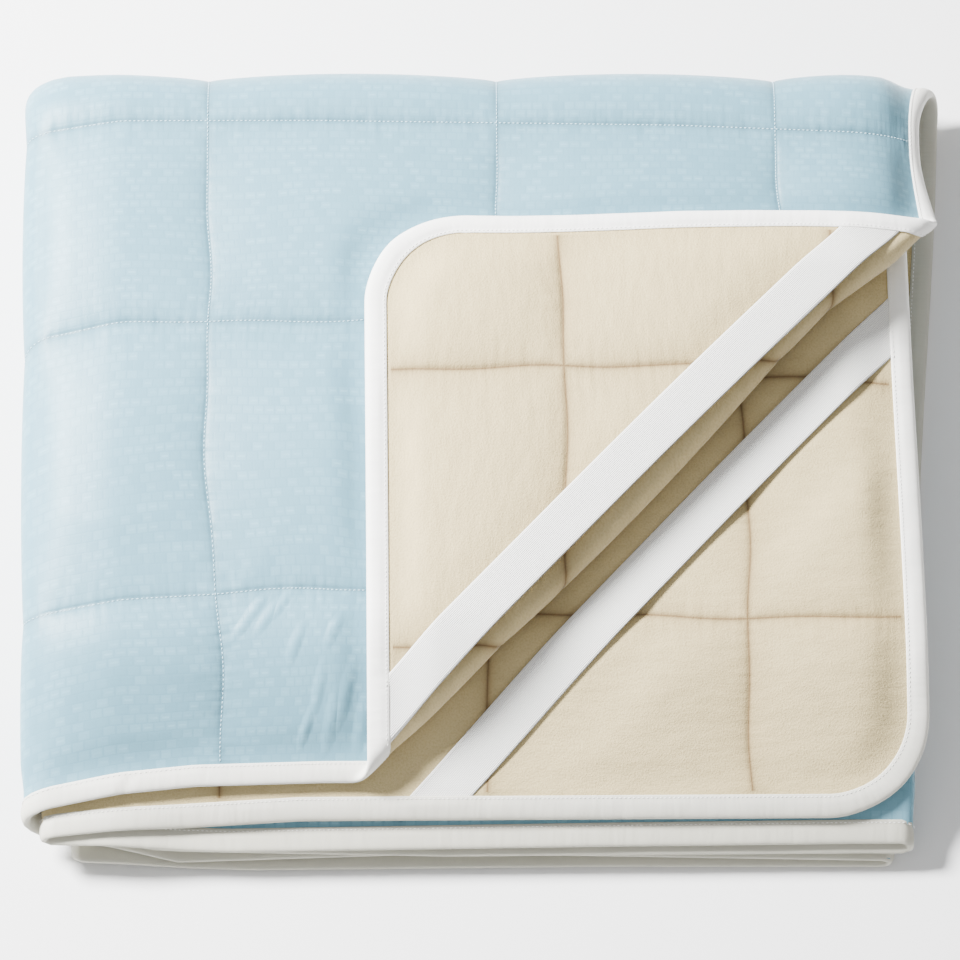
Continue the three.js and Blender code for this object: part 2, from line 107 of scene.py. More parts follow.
# Soft wrinkles in the blue face of the top layer: middle u and v, direction in degrees, half length,
# half width and height.
WRINKLES = [
    (335, 52, 108, 42, 9, 0.8), (392, 118, 120, 26, 6, 0.7), (470, 150, 12, 40, 7, 1.0),
    (440, 268, -8, 36, 7, 0.8), (232, 262, 20, 34, 7, 0.9), (264, 236, -30, 26, 6, 0.8),
    (150, 322, 8, 42, 8, 0.8), (345, 246, 5, 44, 6, -0.8), (300, 392, 3, 60, 7, -0.7),
    (88, 372, 60, 26, 6, 0.8), (425, 60, 20, 34, 6, 0.9),
]
# Short creases in the same face: middle u and v, direction in degrees, half length and half width.
CREASES = [
    (344, 32, 101, 22, 5.6), (336, 45, 107, 26, 5.2), (327, 30, 99, 20, 5.0), (353, 49, 106, 21, 5.6),
    (318, 42, 96, 26, 5.2), (361, 30, 110, 16, 5.0), (311, 60, 93, 22, 5.0), (392, 96, 128, 15, 4.2),
    (385, 91, 126, 16, 4.2), (377, 98, 124, 13, 4.0), (399, 87, 131, 12, 4.0), (306, 36, 91, 18, 4.6),
    (369, 75, 118, 17, 5.2), (343, 82, 112, 15, 4.8),
]


# Placing the cloth

def smooth(x):
    x = np.clip(x, 0, 1)
    return x * x * (3 - 2 * x)


def mix(a, b, t):
    return a + (b - a) * t


def reach(turn, v):
    q = v / (WIDTH / 2)
    front, back, lower = turn[3]
    return np.where(q < 1, mix(front, back, smooth(q)), mix(back, lower, smooth(1.3 * (q - 1))))


def overhang(u, v):
    """How much the free end of the top layer hangs over the side of the stack, from 0 to 1."""
    return np.clip(1 - u / 46, 0, 1.2) ** 2 * smooth((v - 280) / 112) * smooth((480 - v) / 80)


def fold_length(u, v, s):
    """The section along the length: x, and the height above the stack's middle."""
    x = np.zeros_like(u)
    h = np.zeros_like(u)
    last = len(LEVELS) - 1
    for run, level in enumerate(LEVELS):
        begin, end = TURNS[run], TURNS[run + 1]
        up = s if run % 2 == 0 else -s
        before = 0 if run == 0 else abs(LEVELS[run - 1] - level) / 2
        bend = 0 if run == last else abs(LEVELS[run + 1] - level) / 2
        start = reach(begin, v) - begin[2] * before
        stop = reach(end, v) - end[2] * bend
        on_run = (u >= begin[1]) if run else (u >= -1e9)
        if run < last:
            on_run &= u <= end[0]
        along = (u - begin[1]) / (end[0] - begin[1])
        over = overhang(u, v) if run == 0 else 0
        x = np.where(on_run, mix(start, stop, along) - 13 * over, x)
        h = np.where(on_run, level + up - 9 * over, h)
        if run < last:
            on_bend = (u > end[0]) & (u < end[1])
            angle = math.pi * (u - end[0]) / (end[1] - end[0])
            radius = bend + (s if run < 2 else -s)
            away = math.copysign(1, level - LEVELS[run + 1])
            middle = (level + LEVELS[run + 1]) / 2
            x = np.where(on_bend, stop + end[2] * radius * np.sin(angle), x)
            h = np.where(on_bend, middle + away * radius * np.cos(angle), h)
    return x, h


def press(x, y):
    """How much the stack is pressed together or swollen at a place."""
    front = mix(0.6, 1.0, smooth((y + 12) / 100))
    away = ((y - 215) / 120) ** 2 + ((x + 20) / 230) ** 4
    side = 1 - 0.1 * smooth((np.abs(x) - 200) / 56)
    return (front + 0.15 * np.exp(-away)) * side


def stack_middle(x, y):
    left = 8 * smooth((-160 - x) / 50)
    below = mix(2 * LAYER + 1 + left, HALF_STACK, smooth((y + 34) / 34))
    return below * press(x, y)


def back_fold(u):
    upper = np.interp(u, EDGES[:, 0], EDGES[:, 1])
    lower = np.interp(u, EDGES[:, 0], EDGES[:, 2])
    enter = BACK_FOLD_Y - upper + np.interp(u, EDGES[:, 0], EDGES[:, 3])
    return upper, lower, enter, WIDTH - (BACK_FOLD_Y - lower + np.interp(u, EDGES[:, 0], EDGES[:, 4]))


def fold_flat(u, v, s):
    """Flat points of the sheet in the folded stack, before the corner is turned back."""
    x, height = fold_length(u, v, s)
    upper, lower, enter, leave = back_fold(u)
    above = v <= enter
    slid = np.interp(v, SLID[:, 0], SLID[:, 1]) * (1 - smooth((u - 500) / 40))
    slid += np.interp(v, SLID[:, 0], SLID[:, 2]) * smooth((u - 1512) / 60)
    near_end = smooth((260 - u) / 220) * np.interp(v, (60, 250, 320, BACK_FOLD_Y), (0, 1, 1, 0))
    slid += SLID_AT_END * near_end
    y = np.where(above, upper + (BACK_FOLD_Y - upper) * v / enter + slid,
                 lower + (BACK_FOLD_Y - lower) * (WIDTH - v) / (WIDTH - leave))
    z = stack_middle(x, y) + np.where(above, height, -height) * press(x, y)
    angle = math.pi * (v - enter) / (leave - enter)
    around = (v > enter) & (v < leave)
    back = stack_middle(x, BACK_FOLD_Y) + height * press(x, BACK_FOLD_Y) * np.cos(angle)
    y = np.where(around, BACK_FOLD_Y + height * np.sin(angle), y)
    return np.stack([x, y, np.where(around, back, z)], -1)


def turn_back(u, v, s):
    """Points of the turned-back corner: round the bend, then flat over the layer they are part of."""
    past = (BEND_START - u - v) / ROOT2
    along = (v - u) / ROOT2

    def on_layer(across):
        half = BEND_START / 2
        return half + (across - along) / ROOT2, half + (across + along) / ROOT2

    angle = np.clip(past / BEND_RADIUS, 0, math.pi)
    beyond = past - math.pi * BEND_RADIUS
    in_bend = beyond <= 0
    settled = np.clip(beyond / FLAP_SETTLED, 0, 1)
    flat_up = FLAP_HEIGHT + (2 * BEND_RADIUS - FLAP_HEIGHT) * (1 - settled)
    up = np.where(in_bend, BEND_RADIUS * (1 - np.cos(angle)), flat_up)
    none = np.zeros_like(s)
    at = fold_flat(*on_layer(np.where(in_bend, -BEND_RADIUS * np.sin(angle), beyond)), none)
    pressed = s * press(at[..., 0], at[..., 1])
    out = np.where(in_bend, (pressed - BEND_RADIUS) * np.sin(angle), beyond)
    at = fold_flat(*on_layer(out), none)
    at[..., 2] += up + pressed * np.cos(angle)
    return at


def wandering(u, v):
    """Flat points as the quilting seams pull them a little off their straight lines, along the edges too."""
    seen = np.maximum(smooth((495 - u) / 60), smooth((u - 1525) / 60)) * smooth((375 - v) / 60)
    flap = smooth((BEND_END - u - v) / 60)
    u_off = 1.5 * np.sin(v / 34 + u / 47) + 0.7 * np.sin(v / 12 - u / 31) + 3.5 * flap
    u_off -= 7 * smooth((200 - v) / 170) * smooth((u - 340) / 40) * smooth((600 - u) / 60)
    v_off = 1.4 * np.sin(u / 38 - v / 43 + 1) + 0.7 * np.sin(u / 13 + v / 27)
    u_free = smooth((np.minimum(u, LENGTH - u) - 14) / 30)
    v_free = smooth((np.minimum(v, WIDTH - v) - 14) / 30)
    return u + seen * u_free * u_off, v + seen * v_free * v_off


def fold(u, v, s):
    """Flat points at their place in the finished stack, in metres."""
    u, v, s = (np.asarray(a, float) for a in np.broadcast_arrays(u, v, s))
    u, v = wandering(u, v)
    at = fold_flat(u, v, s)
    turned = (u + v < BEND_START) & (u < BEND_START) & (v < BEND_START)
    if turned.any():
        at[turned] = turn_back(u[turned], v[turned], s[turned])
    at[..., 2] = np.maximum(at[..., 2], 0)
    return (at + CENTRE) / 1000


# The quilt's thickness

def from_edge(u, v):
    du = np.minimum(u, LENGTH - u)
    dv = np.minimum(v, WIDTH - v)
    corner = CORNER_RADIUS - np.hypot(CORNER_RADIUS - du, CORNER_RADIUS - dv)
    return np.where((du >= CORNER_RADIUS) | (dv >= CORNER_RADIUS), np.minimum(du, dv), corner)


def place_in_cell(at, seams, end):
    lines = np.array([0, *seams, end], float)
    cell = np.clip(np.searchsorted(lines, at, side="right") - 1, 0, len(lines) - 2)
    return (at - lines[cell]) / (lines[cell + 1] - lines[cell])


def crown(q):
    """The rise of a quilted cell between its two seams: steep at the seams and round on top."""
    return np.sin(math.pi * np.clip(q, 0, 1)) ** 0.62


def wrinkle_height(u, v):
    total = np.zeros_like(u)
    for at_u, at_v, degrees, half_length, half_width, height in WRINKLES:
        turn = math.radians(degrees)
        a = (u - at_u) * math.cos(turn) + (v - at_v) * math.sin(turn)
        b = -(u - at_u) * math.sin(turn) + (v - at_v) * math.cos(turn)
        b = b - 0.004 * a * a
        total += height * np.exp(-((a / half_length) ** 2) - (b / half_width) ** 2)
    return total


def half_thickness(u, v, face, swell):
    """Half the quilt's thickness on one face. What nothing lies on is a little fuller."""
    padded = crown(place_in_cell(u, SEAMS_ALONG, LENGTH)) * crown(place_in_cell(v, SEAMS_ACROSS, WIDTH))
    inside = smooth((from_edge(u, v) - 13) / 19)
    half = mix(EDGE_HALF, mix(SEAM_HALF, CROWN_HALF, padded), inside)
    if face > 0:
        covered = smooth((2 * BEND_START - 10 - u - v) / 40)
        covered = covered * smooth((BEND_START + 8 - np.maximum(u, v)) / 16)
        top = smooth((505 - u) / 10) * smooth((470 - v) / 60)
        free = top * (1 - covered)
        half = half + swell * padded * inside * free
        return half + wrinkle_height(u, v) * top * inside * padded ** 0.3
    flap = smooth((BEND_END - 20 - u - v) / 40)
    second = smooth((250 - (LENGTH - u) - v) / 40)
    return half + 0.75 * swell * padded * inside * np.maximum(flap, second)


# Meshes

def to_object(name, points, faces, uvs, materials, face_material=None):
    mesh = bpy.data.meshes.new(name)
    mesh.from_pydata(points.reshape(-1, 3), [], faces)
    mesh.update()
    layer = mesh.uv_layers.new(name="UVMap")
    corner = np.zeros(len(mesh.loops), np.int32)
    mesh.loops.foreach_get("vertex_index", corner)
    layer.data.foreach_set("uv", uvs.reshape(-1, 2)[corner].astype(np.float32).ravel())
    for material in materials:
        mesh.materials.append(material)
    if face_material is not None:
        mesh.polygons.foreach_set("material_index", np.asarray(face_material, np.int32))
    mesh.polygons.foreach_set("use_smooth", np.ones(len(mesh.polygons), bool))
    made = bpy.data.objects.new(name, mesh)
    bpy.context.scene.collection.objects.link(made)
    return made


def float_attribute(mesh, name, values):
    mesh.attributes.new(name, "FLOAT", "POINT").data.foreach_set("value", values.astype(np.float32))


def between(a, b, near_a, near_b, widest):
    """Lines from a to b: close ones near each end, and even ones between."""
    limit = max((a + b) / 2, a + near_a[-1] + 1) if near_a is NEAR_EDGE else (a + b) / 2
    limit = min(limit, b - near_b[-1] - 1) if near_b is NEAR_EDGE else limit
    low = [a + d for d in near_a if a + d < limit]
    high = [b - d for d in near_b if b - d > limit]
    count = max(1, math.ceil((min(high) - max(low)) / widest))
    return low + list(np.linspace(max(low), min(high), count + 1)[1:-1]) + sorted(high)[:-1]


NEAR_SEAM = [0, 1.2, 2.8, 5, 8, 12, 17]
NEAR_EDGE = [0, 3, 6.5, 10, 13, 17, 22, 27, 32, 38, 46, 55]
FINE_STEP = 5.8
COARSE_STEP = 24


def grid_lines(seams, end, fine):
    lines = [0.0, *seams, end]
    found = []
    for i, (a, b) in enumerate(zip(lines, lines[1:])):
        close = fine(a, b)
        near = NEAR_SEAM if close else [0, 3, 16]
        near_a = NEAR_EDGE if i == 0 else near
        near_b = NEAR_EDGE if i == len(lines) - 2 else near
        found += between(a, b, near_a, near_b, FINE_STEP if close else COARSE_STEP)
    return found + [end]


def along_lines():
    lines = grid_lines(SEAMS_ALONG, LENGTH, lambda a, b: b < 600 or a > 1400)
    turns = [t for t in TURNS if t[1] > t[0]]
    kept = [x for x in lines if all(x < t[0] - 7 or x > t[1] + 7 for t in turns)]
    for turn in turns:
        kept += list(np.linspace(turn[0], turn[1], 19 if turn[1] - turn[0] > 30 else 9))
    return np.array(sorted(kept))


def across_lines():
    """Each line across the width as its v for every u: the back fold starts elsewhere in each layer."""
    u = along_lines()
    lines = grid_lines(SEAMS_ACROSS, WIDTH, lambda a, b: b < 400)
    front = [x for x in lines if x <= 392] + [393]
    lower = [507] + [x for x in lines if x >= 508]
    enter, leave = back_fold(u)[2:]
    rows = [np.full_like(u, x) for x in front]
    rows += [mix(393.0, enter, t) for t in (0.3, 0.65)]
    rows += [mix(enter, leave, t) for t in np.linspace(0, 1, 21)]
    rows += [mix(leave, 507.0, t) for t in (0.35, 0.7)] + [np.full_like(u, x) for x in lower]
    return u, np.stack(rows)


CORNERS = [
    (CORNER_RADIUS, CORNER_RADIUS, math.pi),
    (LENGTH - CORNER_RADIUS, CORNER_RADIUS, 1.5 * math.pi),
    (LENGTH - CORNER_RADIUS, WIDTH - CORNER_RADIUS, 0.0),
    (CORNER_RADIUS, WIDTH - CORNER_RADIUS, 0.5 * math.pi),
]
CORNER_STEPS = 16


def corner_point(corner, radius, share):
    angle = corner[2] + share * math.pi / 2
    return corner[0] + radius * np.cos(angle), corner[1] + radius * np.sin(angle)


def flat_cells():
    """The flat panel as cells of (u, v) corners: a grid, and rings in each rounded corner."""
    u, rows = across_lines()
    cells = []
    for i in range(len(u) - 1):
        at_end = u[i] < CORNER_RADIUS - 1 or u[i + 1] > LENGTH - CORNER_RADIUS + 1
        for j in range(len(rows) - 1):
            v = rows[j, i]
            if at_end and (v < CORNER_RADIUS - 1 or v > WIDTH - CORNER_RADIUS - 0.5):
                continue
            cells.append([(u[i], v), (u[i + 1], rows[j, i + 1]),
                          (u[i + 1], rows[j + 1, i + 1]), (u[i], rows[j + 1, i])])
    for corner in CORNERS:
        for outer, inner in zip(NEAR_EDGE, NEAR_EDGE[1:]):
            for step in range(CORNER_STEPS):
                a, b = step / CORNER_STEPS, (step + 1) / CORNER_STEPS
                far, close = CORNER_RADIUS - outer, CORNER_RADIUS - inner
                ring = [corner_point(corner, far, a), corner_point(corner, far, b),
                        corner_point(corner, close, b), corner_point(corner, close, a)]
                cells.append(ring if inner < CORNER_RADIUS else ring[:3])
    return cells


def split_cells(cells, total):
    """Cuts cells along the line u + v = total."""
    result = []
    for cell in cells:
        sides = [0 if abs(u + v - total) < 0.01 else (1 if u + v > total else -1) for u, v in cell]
        if min(sides) >= 0 or max(sides) <= 0:
            result.append(cell)
            continue
        parts = {-1: [], 1: []}
        for i, point in enumerate(cell):
            after = cell[(i + 1) % len(cell)]
            if sides[i] <= 0:
                parts[-1].append(point)
            if sides[i] >= 0:
                parts[1].append(point)
            if sides[i] * sides[(i + 1) % len(cell)] < 0:
                a, b = sorted([point, after])
                share = (total - a[0] - a[1]) / (b[0] + b[1] - a[0] - a[1])
                cut = (mix(a[0], b[0], share), mix(a[1], b[1], share))
                parts[-1].append(cut)
                parts[1].append(cut)
        result += [part for part in parts.values() if len(part) > 2]
    return result


def flat_mesh():
    """The flat panel's points and faces, with the cells near the bend cut along it."""
    cells = flat_cells()
    near = [min(u + v for u, v in cell) < BEND_START + 8 and max(u + v for u, v in cell) > BEND_END - 90
            for cell in cells]
    band = [cell for cell, is_near in zip(cells, near) if is_near]
    cuts = [*np.linspace(BEND_START, BEND_END, 13), BEND_END - 30, BEND_END - FLAP_SETTLED * ROOT2]
    for total in cuts:
        band = split_cells(band, total)
    cells = [cell for cell, is_near in zip(cells, near) if not is_near] + band
    found = {}
    faces = []
    for cell in cells:
        face = []
        for u, v in cell:
            at = found.setdefault((round(u, 2), round(v, 2)), (len(found), u, v))
            if at[0] not in face:
                face.append(at[0])
        if len(face) > 2:
            faces.append(face)
    points = np.array([(u, v) for _, u, v in found.values()])
    return points, faces


# Materials

def linear(colour):
    """A colour picker's sRGB value as the shader's."""
    return tuple(c / 12.92 if c <= 0.04045 else ((c + 0.055) / 1.055) ** 2.4 for c in colour[:3]) + (1.0,)


class Nodes:
    """Short calls for adding and joining nodes in one tree."""

    def __init__(self, tree):
        self.tree = tree

    def add(self, kind, values=None, **settings):
        node = self.tree.nodes.new(kind)
        for name, value in settings.items():
            setattr(node, name, value)
        for socket, value in (values or {}).items():
            if isinstance(value, bpy.types.NodeSocket):
                self.tree.links.new(value, node.inputs[socket])
            else:
                node.inputs[socket].default_value = value
        return node

    def math(self, operation, *values, clamp=False):
        node = self.add("ShaderNodeMath", dict(enumerate(values)), operation=operation, use_clamp=clamp)
        return node.outputs[0]

    def blend(self, share, a, b, kind="MIX"):
        node = self.add("ShaderNodeMix", {0: share, 6: a, 7: b}, data_type="RGBA", blend_type=kind)
        return node.outputs[2]

    def ramp(self, value, low, high):
        node = self.add("ShaderNodeMapRange", {0: value, 1: low, 2: high}, clamp=True)
        return node.outputs[0]

    def noise(self, vector, scale, detail=2.0, roughness=0.5):
        values = {"Vector": vector, "Scale": scale, "Detail": detail, "Roughness": roughness}
        return self.add("ShaderNodeTexNoise", values).outputs[0]


def new_group(name, inputs, outputs):
    group = bpy.data.node_groups.new(name, "ShaderNodeTree")
    for label, kind, default in inputs:
        socket = group.interface.new_socket(label, in_out="INPUT", socket_type=kind)
        if default is not None:
            socket.default_value = default
    for label, kind in outputs:
        group.interface.new_socket(label, in_out="OUTPUT", socket_type=kind)
    tree = Nodes(group)
    return group, tree, tree.add("NodeGroupInput").outputs, tree.add("NodeGroupOutput").inputs


def thread_weave_group():
    """Crossed threads: a height, and a value that is high on the threads and low between them."""
    group, n, given, out = new_group(
        "thread weave",
        [("Vector", "NodeSocketVector", None), ("Threads per metre", "NodeSocketFloat", 2500.0),
         ("Unevenness", "NodeSocketFloat", 0.3)],
        [("Height", "NodeSocketFloat"), ("Thread", "NodeSocketFloat")])
    parts = n.add("ShaderNodeSeparateXYZ", {0: given["Vector"]}).outputs
    turn = n.math("MULTIPLY", given["Threads per metre"], math.pi)
    warp = n.math("SINE", n.math("MULTIPLY", parts[0], turn))
    weft = n.math("SINE", n.math("MULTIPLY", parts[1], turn))
    crossed = n.math("MULTIPLY", warp, weft)
    rows = n.math("MULTIPLY", n.math("ABSOLUTE", weft), 0.5)
    uneven = n.math("MULTIPLY", n.noise(given["Vector"], 900.0), given["Unevenness"])
    height = n.math("ADD", n.math("ADD", n.math("MULTIPLY", crossed, 0.5), rows), uneven)
    n.tree.links.new(height, out["Height"])
    n.tree.links.new(n.ramp(height, -0.3, 1.0), out["Thread"])
    return group


def cloth_tone_group():
    """Slow changes of tone over a cloth, and finer mottling."""
    group, n, given, out = new_group(
        "cloth tone",
        [("Vector", "NodeSocketVector", None), ("Colour", "NodeSocketColor", (0.8, 0.8, 0.8, 1)),
         ("Slow change", "NodeSocketFloat", 0.1), ("Fine change", "NodeSocketFloat", 0.1)],
        [("Colour", "NodeSocketColor")])
    patches = n.math("SUBTRACT", n.noise(given["Vector"], 14.0), 0.5)
    mottling = n.math("SUBTRACT", n.noise(given["Vector"], 420.0, 3.0), 0.5)
    slow = n.math("MULTIPLY", patches, given["Slow change"])
    fine = n.math("MULTIPLY", mottling, given["Fine change"])
    value = n.math("ADD", n.math("ADD", slow, fine), 1.0)
    toned = n.add("ShaderNodeHueSaturation", {"Value": value, "Color": given["Colour"]}).outputs[0]
    n.tree.links.new(toned, out["Colour"])
    return group


def seam_pucker_group():
    """Short gathers that run out from the quilting seams, from the panel's two seam attributes, and a Shade
    value that is high near the seams, used to paint shade along them.
    """
    group, n, given, out = new_group(
        "seam pucker",
        [("Vector", "NodeSocketVector", None), ("Near seam along", "NodeSocketFloat", 0.0),
         ("Near seam across", "NodeSocketFloat", 0.0)],
        [("Height", "NodeSocketFloat"), ("Shade", "NodeSocketFloat")])
    along = n.add("ShaderNodeMapping", {"Vector": given["Vector"], "Scale": (30.0, 150.0, 1.0)}).outputs[0]
    across = n.add("ShaderNodeMapping", {"Vector": given["Vector"], "Scale": (150.0, 30.0, 1.0)}).outputs[0]
    first = n.math("MULTIPLY", n.noise(along, 1.0, 1.0), given["Near seam along"])
    second = n.math("MULTIPLY", n.noise(across, 1.0, 1.0), given["Near seam across"])
    n.tree.links.new(n.math("ADD", first, second), out["Height"])
    n.tree.links.new(n.math("MAXIMUM", given["Near seam along"], given["Near seam across"]), out["Shade"])
    return group


def crease_group():
    """One short crease: a height that is 1 along its middle and 0 outside its half length and half width."""
    group, n, given, out = new_group(
        "short crease",
        [("Vector", "NodeSocketVector", None), ("Middle", "NodeSocketVector", None),
         ("Angle", "NodeSocketFloat", 0.0), ("Scale", "NodeSocketVector", None)],
        [("Height", "NodeSocketFloat")])
    away = n.add("ShaderNodeVectorMath", {0: given["Vector"], 1: given["Middle"]},
                 operation="SUBTRACT").outputs[0]
    turned = n.add("ShaderNodeVectorRotate", {"Vector": away, "Angle": given["Angle"]},
                   rotation_type="Z_AXIS").outputs[0]
    scaled = n.add("ShaderNodeVectorMath", {0: turned, 1: given["Scale"]}, operation="MULTIPLY").outputs[0]
    square = n.add("ShaderNodeVectorMath", {0: scaled, 1: scaled}, operation="DOT_PRODUCT").outputs["Value"]
    n.tree.links.new(n.math("POWER", n.ramp(square, 1.0, 0.0), 2.0), out["Height"])
    return group


def creases(n, uv):
    """All short creases of the blue face as one height."""
    total = None
    for u, v, degrees, half_length, half_width in CREASES:
        values = {"Vector": uv, "Middle": (u / 1000, v / 1000, 0), "Angle": -math.radians(degrees),
                  "Scale": (1000 / half_length, 1000 / half_width, 0)}
        one = n.add("ShaderNodeGroup", values, node_tree=node_group("short crease", crease_group))
        total = one.outputs[0] if total is None else n.math("MAXIMUM", total, one.outputs[0])
    return total


def node_group(name, make):
    return bpy.data.node_groups.get(name) or make()


def new_material(name):
    material = bpy.data.materials.new(name)
    material.use_nodes = True
    tree = material.node_tree
    for node in list(tree.nodes):
        tree.nodes.remove(node)
    n = Nodes(tree)
    shader = n.add("ShaderNodeBsdfPrincipled")
    output = n.add("ShaderNodeOutputMaterial")
    tree.links.new(shader.outputs[0], output.inputs["Surface"])
    return material, n, shader.inputs


def bump(n, shader, heights):
    """One bump after another, each with its height, strength and depth in metres."""
    normal = None
    for height, strength, depth in heights:
        values = {"Height": height, "Strength": strength, "Distance": depth}
        if normal is not None:
            values["Normal"] = normal
        normal = n.add("ShaderNodeBump", values).outputs[0]
    n.tree.links.new(normal, shader["Normal"])


def blue_cloth_material(looks):
    material, n, shader = new_material("blue microfibre")
    uv = n.add("ShaderNodeUVMap", uv_map="UVMap").outputs[0]
    parts = n.add("ShaderNodeSeparateXYZ", {0: uv}).outputs
    near_u = n.add("ShaderNodeAttribute", attribute_name="near_seam_along").outputs["Fac"]
    near_v = n.add("ShaderNodeAttribute", attribute_name="near_seam_across").outputs["Fac"]
    wander = n.math("MULTIPLY", n.math("SUBTRACT", n.noise(uv, 30.0), 0.5), 0.0016)
    row = n.math("DIVIDE", n.math("ADD", parts[1], wander), looks.check_size)
    column = n.math("DIVIDE", n.math("ADD", parts[0], wander), looks.check_size * 1.15)
    odd = n.math("MODULO", n.math("FLOOR", row), 2.0)
    column = n.math("ADD", column, n.math("MULTIPLY", odd, 0.5))
    in_row = n.math("ABSOLUTE", n.math("SUBTRACT", n.math("FRACT", row), 0.5))
    in_column = n.math("ABSOLUTE", n.math("SUBTRACT", n.math("FRACT", column), 0.5))
    square = n.add("ShaderNodeCombineXYZ", {0: n.math("FLOOR", column), 1: n.math("FLOOR", row)}).outputs[0]
    chance = n.add("ShaderNodeTexWhiteNoise", {"Vector": square}, noise_dimensions="2D").outputs["Value"]
    dash = n.math("MULTIPLY", n.ramp(in_row, 0.14, 0.05), n.ramp(in_column, 0.36, 0.26))
    patchy = n.ramp(n.noise(uv, 45.0, 3.0), 0.38, 0.62)
    dash = n.math("MULTIPLY", n.math("MULTIPLY", dash, patchy), n.ramp(chance, 0.35, 0.7))
    block = n.math("MULTIPLY", n.ramp(in_row, 0.48, 0.38), n.ramp(in_column, 0.48, 0.38))
    weave = n.add("ShaderNodeGroup", {"Vector": uv}, node_tree=node_group("thread weave", thread_weave_group))
    weave.inputs["Threads per metre"].default_value = 2600.0
    tone = n.add("ShaderNodeGroup", {"Vector": uv, "Colour": linear(looks.blue)},
                 node_tree=node_group("cloth tone", cloth_tone_group))
    tone.inputs["Slow change"].default_value = 0.05
    tone.inputs["Fine change"].default_value = 0.05
    pucker = n.add("ShaderNodeGroup", {"Vector": uv, "Near seam along": near_u, "Near seam across": near_v},
                   node_tree=node_group("seam pucker", seam_pucker_group))
    pale = linear([min(1, c + 0.11) for c in looks.blue])
    colour = n.blend(n.math("MULTIPLY", n.math("MULTIPLY", chance, block), 0.32), tone.outputs[0], pale)
    colour = n.blend(n.math("MULTIPLY", dash, 0.6), colour, pale)
    # Painted shade along the quilting seams: a soft darkening near each seam and a dark line in it, where the
    # sunken seams lie in shade.
    deep = linear([c * 0.78 for c in looks.blue])
    soft = n.math("MULTIPLY", pucker.outputs["Shade"], 0.22)
    line = n.math("MULTIPLY", n.math("POWER", pucker.outputs["Shade"], 7.0), 0.75)
    colour = n.blend(n.math("ADD", soft, line), colour, deep)
    n.tree.links.new(colour, shader["Base Color"])
    n.tree.links.new(n.ramp(weave.outputs["Thread"], -1.2, 2.6), shader["Roughness"])
    shader["Sheen Weight"].default_value = 0.12
    shader["Sheen Roughness"].default_value = 0.4
    shader["Specular IOR Level"].default_value = 0.35
    bump(n, shader, [(pucker.outputs["Height"], 0.5, 0.0022), (creases(n, uv), 0.6, 0.0009),
                     (block, 0.07, 0.0004), (weave.outputs["Height"], 0.15, 0.0001)])
    return material


def beige_plush_material(looks):
    material, n, shader = new_material("beige plush")
    uv = n.add("ShaderNodeUVMap", uv_map="UVMap").outputs[0]
    near_u = n.add("ShaderNodeAttribute", attribute_name="near_seam_along").outputs["Fac"]
    near_v = n.add("ShaderNodeAttribute", attribute_name="near_seam_across").outputs["Fac"]
    pile = n.noise(uv, 1.0 / looks.pile_size, 3.0, 0.65)
    brushed = n.add("ShaderNodeMapping", {"Vector": uv, "Scale": (60.0, 130.0, 1.0)}).outputs[0]
    lie = n.noise(brushed, 1.0, 3.0)
    tone = n.add("ShaderNodeGroup", {"Vector": uv, "Colour": linear(looks.beige)},
                 node_tree=node_group("cloth tone", cloth_tone_group))
    tone.inputs["Slow change"].default_value = 0.05
    tone.inputs["Fine change"].default_value = 0.07
    pucker = n.add("ShaderNodeGroup", {"Vector": uv, "Near seam along": near_u, "Near seam across": near_v},
                   node_tree=node_group("seam pucker", seam_pucker_group))
    # deep is the darker colour of the pile between its tufts, and also the painted shade along the seams.
    deep = linear([c * d for c, d in zip(looks.beige, (0.74, 0.69, 0.62))])
    pale = linear([min(1, c * 1.04) for c in looks.beige])
    colour = n.blend(n.ramp(lie, 0.35, 0.75), tone.outputs[0], pale)
    colour = n.blend(n.math("MULTIPLY", n.ramp(pile, 0.58, 0.3), 0.34), colour, deep)
    # Painted shade along the quilting seams: a soft darkening near each seam and a dark line in it, where the
    # sunken seams lie in shade.
    soft = n.math("MULTIPLY", pucker.outputs["Shade"], 0.4)
    line = n.math("MULTIPLY", n.math("POWER", pucker.outputs["Shade"], 9.0), 0.9)
    colour = n.blend(soft, colour, deep)
    colour = n.blend(line, colour, linear([c * d for c, d in zip(looks.beige, (0.52, 0.43, 0.36))]))
    n.tree.links.new(colour, shader["Base Color"])
    n.tree.links.new(n.ramp(pile, -0.6, 1.1), shader["Roughness"])
    shader["Sheen Weight"].default_value = 0.35
    shader["Sheen Roughness"].default_value = 0.35
    shader["Specular IOR Level"].default_value = 0.15
    bump(n, shader, [(pucker.outputs["Height"], 0.4, 0.002), (lie, 0.4, 0.0016), (pile, 0.5, 0.0008)])
    return material


